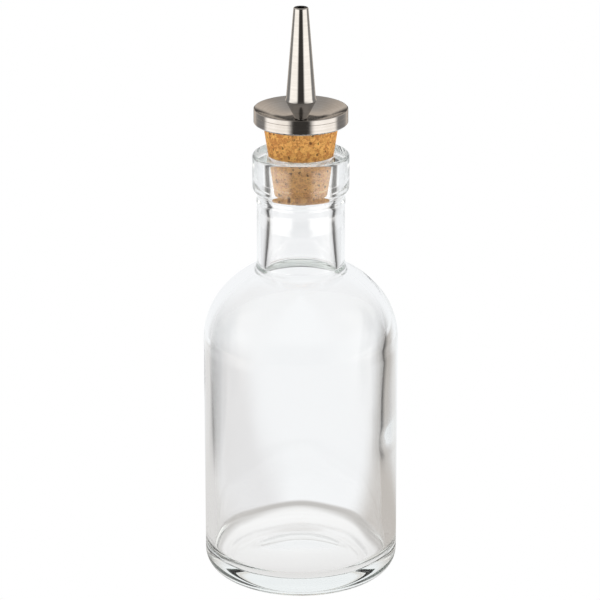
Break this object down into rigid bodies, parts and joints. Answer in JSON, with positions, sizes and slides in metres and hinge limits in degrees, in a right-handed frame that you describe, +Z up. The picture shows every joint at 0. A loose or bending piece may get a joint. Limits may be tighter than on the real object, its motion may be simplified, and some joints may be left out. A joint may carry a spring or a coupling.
{
  "type": "oil and vinegar bottle",
  "caption": "Round clear glass table bottle with a tapered cork stopper that carries a dished steel disc and a slim conical dash pourer.",
  "frame": {"origin": "centre of the bottle's base, on the surface that it stands on", "axes": "+Z up along the bottle's axis of rotation, the way the spout points; -Y is the side that the picture shows"},
  "size_m": [0.065, 0.065, 0.1963],
  "materials": {
    "clear_glass": "clear soda glass, fire polished, with a slightly uneven wall",
    "cork": "ground cork granules pressed and sanded, matt",
    "turned_steel": "stainless steel, fine turning marks round the axis",
    "polished_steel": "stainless steel, polished",
    "tube_steel": "drawn stainless tube, plain"
  },
  "bodies": {
    "bottle": {"glass_bottle": "clear_glass"},
    "stopper": {"cork_stopper": "cork"},
    "pourer": {"pourer_disc": "turned_steel", "pour_spout": "polished_steel", "stem_tube": "tube_steel"}
  },
  "joints": [
    {"name": "stopper_lift", "type": "slide", "parent": "bottle", "child": "stopper", "axis": [0, 0, 1], "range_m": [0, 0.06]},
    {"name": "pourer_turn", "type": "hinge", "parent": "stopper", "child": "pourer", "pos_m": [0, 0, 0.1573], "axis": [0, 0, 1], "continuous": true}
  ]
}
